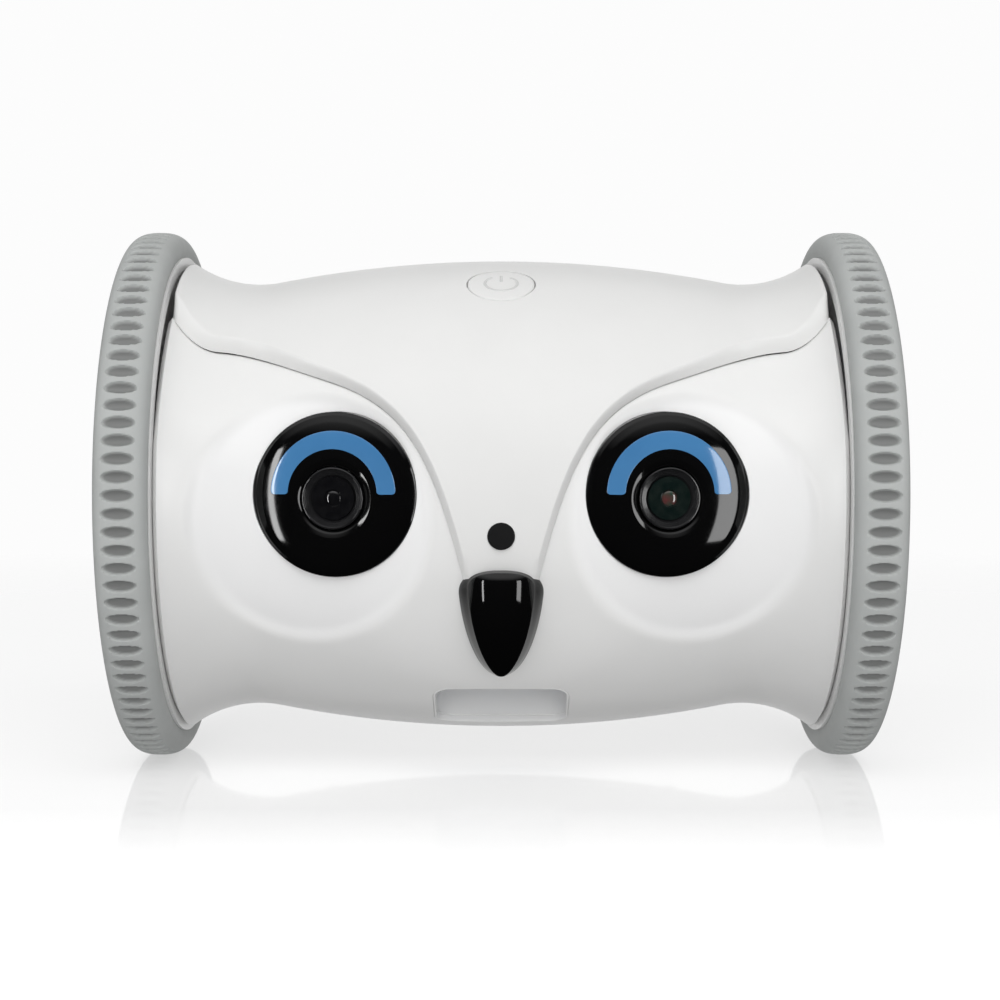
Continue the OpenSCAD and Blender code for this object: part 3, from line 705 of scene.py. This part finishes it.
def make_beak():
    """A bevelled band rises from the face to a crest, and the keeled front closes inside it."""
    middle = np.array([0, BEAK_MID_Z])
    right = trace(BEAK)
    loop = np.vstack([right, right[-2:0:-1] * (-1, 1)])
    along = np.roll(loop, -1, 0) - np.roll(loop, 1, 0)
    along /= np.linalg.norm(along, axis=1)[:, None]
    inward = np.stack([along[:, 1], -along[:, 0]], -1)
    inward *= np.sign(((middle - loop) * inward).sum(1))[:, None]
    band = BEAK_BAND + BEAK_BAND_MORE * (1 - inward[:, 1] ** 2)
    base = face_y(loop[:, 0], loop[:, 1])
    foot = base - 0.4
    rows = [(loop, base + 3), (loop, base - 0.15), (loop + inward * 0.1, foot)]
    crest = loop + inward * band[:, None]
    top = np.minimum(beak_y(crest[:, 0], crest[:, 1]), base - BEAK_STAND) + 0.2
    for t in (0.25, 0.5, 0.75, 0.93):
        rows.append((loop + inward * (band * t)[:, None], foot + (top - foot) * t**0.8))
    for s in [1, 0.985, *np.linspace(0.96, 0.04, 34), 0]:
        ring = crest * s + middle * (1 - s)
        y = np.minimum(beak_y(ring[:, 0], ring[:, 1]), face_y(ring[:, 0], ring[:, 1]) - BEAK_STAND)
        rows.append((ring, y + (0.12 if s == 1 else 0)))
    points = [np.stack([ring[:, 0], y, ring[:, 1]], -1) for ring, y in rows]
    faces = grid_faces(len(rows), len(loop), wrap_cols=True)
    close(mesh("beak_shell", points, faces, "casing", BLACK, ["beak"], 34))


# ---------------------------------------------------------------- button, sensor and treat outlet
SYMBOL_R = 4.4  # radius of the power symbol's ring
SYMBOL_GAP = 32  # degrees from the top of the ring to each of its ends
SYMBOL_BAR = (0.8, 5.2)
# Half-width and lift of a low rounded moulding.
RIDGE = ((-0.42, -0.15), (-0.36, 0.1), (-0.18, 0.2), (0.18, 0.2), (0.36, 0.1), (0.42, -0.15))


def button_top(x, y):
    """Height over the axle, along the button, of a cap that follows the barrel."""
    return np.sqrt((MID_R + 0.12) ** 2 - y**2) - x**2 / (2 * CROWN_ARC)


def make_button():
    place = aim(BUTTON_DIR)
    turn = circle(128)
    edge = [(BUTTON_R - inset, fall) for inset, fall in ((0.15, 7), (0.15, 0.45), (0.25, 0.2), (0.5, 0.04))]
    top = [(BUTTON_R * t, 0) for t in (0.9, 0.75, 0.6, 0.45, 0.3, 0.15, 0.001)]
    rows = []
    for r, fall in edge + top:
        x = r * np.cos(turn)
        y = r * np.sin(turn)
        rows.append(np.stack([x, y, button_top(x, y) - fall], -1))
    faces = grid_faces(len(rows), len(turn), wrap_cols=True)
    points = placed(place, rows)
    close(mesh("button_cap", points, faces, "button", WHITE_BROW_SHADED, ["power_button"], 35))
    sweep = np.radians(np.linspace(SYMBOL_GAP, 360 - SYMBOL_GAP, 60))
    make_ridge("power_ring", [(SYMBOL_R * math.sin(a), SYMBOL_R * math.cos(a)) for a in sweep], place)
    make_ridge("power_bar", [(0, y) for y in np.linspace(*SYMBOL_BAR, 12)], place)


def make_ridge(name, path, place):
    """A low rounded moulding that follows a path over the button, painted grey as shade."""
    ahead_of = np.gradient(np.array(path, float), axis=0)
    ahead_of /= np.linalg.norm(ahead_of, axis=1)[:, None]
    rows = []
    for i, (spot, way) in enumerate(zip(path, ahead_of)):
        taper = 0.35 if i in (0, len(path) - 1) else 1
        row = []
        for across, lift in RIDGE:
            x = spot[0] - way[1] * across * taper
            y = spot[1] + way[0] * across * taper
            row.append((x, y, button_top(x, y) + lift * taper))
        rows.append(row)
    count = len(rows) * len(RIDGE)
    ends = [tuple(range(len(RIDGE))), tuple(range(count - len(RIDGE), count))]
    faces = grid_faces(len(rows), len(RIDGE), wrap_cols=True) + ends
    close(mesh(name, placed(place, rows), faces, "button", WHITE_RELIEF_SHADED, (), 50))


def make_sensor():
    """A dark window set just below the brow's surface."""
    front = float(-face_y(np.array(0.0), np.array(DOT_Z)) + step_at(0)) - 0.45
    edge = [(front - 5, 0), (front - 5, DOT_R), (front - 0.2, DOT_R)]
    top = [(front, DOT_R - 0.2), (front + 0.1, DOT_R / 2), (front + 0.12, 0)]
    spin("sensor_dot", edge + top, 96, BLACK_MATT, ahead(0, 0, DOT_Z), ["sensor_window"])


def slot_outline(grow, steps):
    """Rounded rectangle of the outlet, grown outwards all round."""
    corner = OUTLET_CORNER + grow
    straight_w = OUTLET_HALF_W + grow - corner
    straight_h = OUTLET_HALF_H + grow - corner
    points = []
    for k, (sx, sy) in enumerate(((1, 1), (-1, 1), (-1, -1), (1, -1))):
        for a in k * math.pi / 2 + np.linspace(0, math.pi / 2, steps):
            points.append((sx * straight_w + corner * math.cos(a), sy * straight_h + corner * math.sin(a)))
    return np.array(points)


def make_chute():
    """White liner of the treat outlet: a lip flush with the face, a fine groove, then the throat."""
    lip = ((0, 2.6), (0, 0.2), (-0.08, 0), (-0.25, -0.06), (-0.5, -0.02), (-0.62, 0.15))
    groove = ((-0.68, 0.5), (-0.7, 1.6), (-0.5, 1.68), (-0.5, 1.9), (-0.72, 1.98))
    throat = ((-0.75, 6), (-0.8, 14), (-0.9, 30), (1.4, 30), (1.4, 3.0), (0, 2.8))
    flat_below = 10  # deeper rings are level, and shallower ones follow the barrel
    level = 64.0
    rows = []
    for grow, depth in (*lip, *groove, *throat):
        x, y = slot_outline(grow, 12).T
        bend = np.sqrt(barrel_r(x) ** 2 - y**2)
        z = np.where(depth > flat_below, level, bend) - depth
        rows.append(np.stack([x, y, z], -1))
    faces = grid_faces(len(rows), len(rows[0]), wrap_cols=True, wrap_rows=True)
    points = placed(aim(OUTLET_DIR), rows)
    close(mesh("outlet_liner", points, faces, "casing", WHITE_IN, ["treat_chute"]))


# ---------------------------------------------------------------- tyres
TYRE_X = 97.0
TYRE_HALF = 7.0
TYRE_R = 75.0
TYRE_CROWN = 5.4
TYRE_POWER = 2 / 2.6  # exponent of the superellipse section
SEAT_R = 67.8  # where the tyre sits on its rim
SEAT_INSET = 0.6
SECTION_STEPS = 48
DIMPLES = 100
DIMPLE_STEPS = 16
DIMPLE_HALF = 4.3
DIMPLE_REACH = 1.6  # half-length round the tyre
DIMPLE_DEPTH = 1.9
DIMPLE_CURVE = 0.55


def make_tyre(side, word):
    """Superellipse section on the rim, with a ring of concave dimples whose floors get painted shade."""
    around = DIMPLES * DIMPLE_STEPS
    a = np.radians(np.linspace(-90, 90, SECTION_STEPS))
    inner = TYRE_X - TYRE_HALF + SEAT_INSET
    outer = TYRE_X + TYRE_HALF - SEAT_INSET
    wall = TYRE_X + TYRE_HALF * np.sign(a) * np.abs(np.sin(a)) ** TYRE_POWER
    x = np.concatenate([[inner], wall, [outer]])
    crown = TYRE_R - TYRE_CROWN + TYRE_CROWN * np.abs(np.cos(a)) ** TYRE_POWER
    r = np.concatenate([[SEAT_R], crown, [SEAT_R]])
    turn = circle(around)[:, None]
    across = (x[None, :] - TYRE_X) / DIMPLE_HALF
    pitch = 2 * math.pi * TYRE_R / DIMPLES
    along = ((np.arange(around) % DIMPLE_STEPS) / DIMPLE_STEPS - 0.5)[:, None] * pitch / DIMPLE_REACH
    hollow = np.clip(1 - across**2 - along**2, 0, 1)
    r = r[None, :] - DIMPLE_DEPTH * hollow**DIMPLE_CURVE
    points = np.stack([np.broadcast_to(side * x, r.shape), r * np.cos(turn), r * np.sin(turn)], -1)
    faces = grid_faces(around, len(x), wrap_cols=True, wrap_rows=True)
    wheel = f"{word}_wheel"
    piece = mesh(f"{word}_tyre_rubber", points, faces, wheel, RUBBER, [f"{word}_tyre"], 50)
    # painted shade: a point attribute that darkens the floor of each dimple
    dimple_shade = piece.data.attributes.new("dimple_shade", "FLOAT", "POINT")
    dimple_shade.data.foreach_set("value", smooth(0.02, 0.45, hollow).ravel())
    close(piece)


# ---------------------------------------------------------------- pieces
make_brow()
make_face()
for side, word in ((-1, "left"), (1, "right")):
    make_eye_cover(side, word)
    make_light_arc(side, word)
make_lens(1, "camera_housing", "camera_barrel", "camera_glass", "camera_lens", LENS_GREEN, LENS_CENTRE)
make_lens(-1, "night_housing", "night_lens_ring", "night_glass", "night_lens", LENS_DARK, LENS_DARK)
make_beak()
make_button()
make_sensor()
make_chute()
make_tyre(-1, "left")
make_tyre(1, "right")

# ---------------------------------------------------------------- carried-over CAD nodes
FINISH = {
    "white_plastic": WHITE,
    "black_gloss": BLACK,
    "dark_plastic": DARK,
    "grey_plastic": GREY,
    "steel": STEEL,
    "blue_diffuser": ARC_BLUE,
    "blue_plastic": BLUE,
    "lens_glass": LENS_DARK,
    "tyre_rubber": RUBBER,
    "circuit_board": BOARD,
    "battery_sleeve": CELL,
}
for part in frame["record"]["subparts"]:
    node = frame["nodes"][part["node"]]
    node.data.materials.clear()
    node.data.materials.append(FINISH[part["material_slot"]])

# ---------------------------------------------------------------- camera, floor, light
AXLE = AXLE_Z * MM
CAMERA_SPOT = (-0.0003, -0.569, AXLE + 0.0218)
CAMERA_TARGET = (-0.0003, 0, AXLE - 0.0018)
FOCAL = 1.963  # focal length over sensor width
SENSOR = 36.0
FLOOR_HALF = 1.0
FLOOR_GLOW = 0.585
FLOOR_MIRROR = 0.26  # strength of the floor's reflection, which fades out ahead of the object
FADE_FROM = 0.22  # the floor fades out between these distances from the object's middle
FADE_TO = 0.9
BACKDROP = 0.975
MIRROR_DARK = 0.012
LIGHT_TARGET = (0, 0, 0.08)
STRIP_TARGET = (0, 0, 0.07)
STRIP_AWAY = 1.1
STRIP_HEIGHT = 0.85
STRIP_Z = 0.04


def look_at(item, spot, target):
    item.location = spot
    item.rotation_euler = (Vector(target) - Vector(spot)).to_track_quat("-Z", "Y").to_euler()
    bpy.context.scene.collection.objects.link(item)


def make_camera():
    data = bpy.data.cameras.new("camera")
    data.sensor_width = SENSOR
    data.lens = SENSOR * FOCAL
    data.clip_start = 0.01
    camera = bpy.data.objects.new("camera", data)
    look_at(camera, CAMERA_SPOT, CAMERA_TARGET)
    bpy.context.scene.camera = camera


def area_light(name, spot, target, width, height, power, diffuse=True, glossy=True):
    data = bpy.data.lights.new(name, "AREA")
    data.shape = "RECTANGLE"
    data.size = width
    data.size_y = height
    data.energy = power
    lamp = bpy.data.objects.new(name, data)
    lamp.visible_diffuse = diffuse
    lamp.visible_glossy = glossy
    lamp.visible_camera = False
    look_at(lamp, spot, target)


def floor_material():
    """Pale and faintly polished, fading into the backdrop, and clear from underneath."""
    n = Nodes("floor", (0.6, 0.6, 0.6), 0.9)
    n.mottle(3, 2, (0.6, 0.6, 0.6), (0.595, 0.595, 0.595))
    n.shader.inputs["Specular IOR Level"].default_value = 0.0
    n.shader.inputs["Emission Color"].default_value = (1, 1, 1, 1)
    n.shader.inputs["Emission Strength"].default_value = FLOOR_GLOW
    mirror = n.add("ShaderNodeBsdfGlossy", Roughness=0.06)
    split = n.add("ShaderNodeSeparateXYZ")
    n.link(n.coords, split.inputs["Vector"])
    polish = n.add("ShaderNodeMixShader")
    n.link(n.ramp(split.outputs["Y"], -0.15, -0.085, 0, FLOOR_MIRROR), polish.inputs["Fac"])
    n.link(n.shader.outputs["BSDF"], polish.inputs[1])
    n.link(mirror.outputs["BSDF"], polish.inputs[2])
    reach = n.add("ShaderNodeVectorMath")
    reach.operation = "LENGTH"
    n.link(n.coords, reach.inputs[0])
    clearness = n.add("ShaderNodeMath")
    clearness.operation = "MAXIMUM"
    n.link(n.ramp(reach.outputs["Value"], FADE_FROM, FADE_TO, 0, 1), clearness.inputs[0])
    n.link(n.add("ShaderNodeNewGeometry").outputs["Backfacing"], clearness.inputs[1])
    clear = n.add("ShaderNodeBsdfTransparent")
    blend = n.add("ShaderNodeMixShader")
    n.link(clearness.outputs["Value"], blend.inputs["Fac"])
    n.link(polish.outputs["Shader"], blend.inputs[1])
    n.link(clear.outputs["BSDF"], blend.inputs[2])
    n.link(blend.outputs["Shader"], n.tree.nodes["Material Output"].inputs["Surface"])
    return n.material


def make_floor():
    """The floor shows to the camera only, as in a cut-out picture."""
    corners = [(x * FLOOR_HALF, y * FLOOR_HALF, 0) for x, y in ((-1, -1), (1, -1), (1, 1), (-1, 1))]
    data = bpy.data.meshes.new("floor")
    data.from_pydata(corners, [], [(0, 1, 2, 3)])
    data.materials.append(floor_material())
    floor = bpy.data.objects.new("floor", data)
    floor.visible_diffuse = False
    floor.visible_glossy = False
    bpy.context.scene.collection.objects.link(floor)


def make_world():
    """A white backdrop, soft light all round, and a mirror image that is dark on the camera's side."""
    world = bpy.data.worlds.new("studio")
    bpy.context.scene.world = world
    world.use_nodes = True
    tree = world.node_tree
    coords = tree.nodes.new("ShaderNodeTexCoord")
    split = tree.nodes.new("ShaderNodeSeparateXYZ")
    path = tree.nodes.new("ShaderNodeLightPath")
    tree.links.new(coords.outputs["Generated"], split.inputs["Vector"])

    def fade(axis, low, high, a, b):
        node = tree.nodes.new("ShaderNodeMapRange")
        for key, number in (("From Min", low), ("From Max", high), ("To Min", a), ("To Max", b)):
            node.inputs[key].default_value = number
        tree.links.new(split.outputs[axis], node.inputs["Value"])
        return node.outputs["Result"]

    def pick(kind, otherwise):
        node = tree.nodes.new("ShaderNodeMix")
        tree.links.new(path.outputs[kind], node.inputs["Factor"])
        tree.links.new(otherwise, node.inputs["A"])
        return node

    mirrored = tree.nodes.new("ShaderNodeMath")
    mirrored.operation = "MAXIMUM"
    tree.links.new(fade("Z", 0.45, 0.8, MIRROR_DARK, 0.9), mirrored.inputs[0])
    tree.links.new(fade("Y", 0.7, 0.95, MIRROR_DARK, BACKDROP), mirrored.inputs[1])
    glossy = pick("Is Glossy Ray", fade("Z", -0.7, 0.25, 0.54, 0.465))
    tree.links.new(mirrored.outputs["Value"], glossy.inputs["B"])
    seen = pick("Is Camera Ray", glossy.outputs["Result"])
    seen.inputs["B"].default_value = BACKDROP
    tree.links.new(seen.outputs["Result"], tree.nodes["Background"].inputs["Color"])


def make_strip(name, azimuth, width, power):
    """An upright soft light that adds only reflections."""
    a = math.radians(azimuth)
    spot = (STRIP_AWAY * math.sin(a), -STRIP_AWAY * math.cos(a), STRIP_Z)
    area_light(name, spot, STRIP_TARGET, width, STRIP_HEIGHT, power, diffuse=False)


make_camera()
make_floor()
make_world()
area_light("overhead", (0, -0.95, 1.1), LIGHT_TARGET, 1.6, 0.9, 9.2, glossy=False)
area_light("fill", (0, -1.45, 0.1), LIGHT_TARGET, 1.6, 0.9, 7.0, glossy=False)
make_strip("strip_left", -50, 0.10, 3.0)
make_strip("strip_right", 48, 0.30, 4.4)
bpy.context.scene.view_settings.view_transform = "Standard"
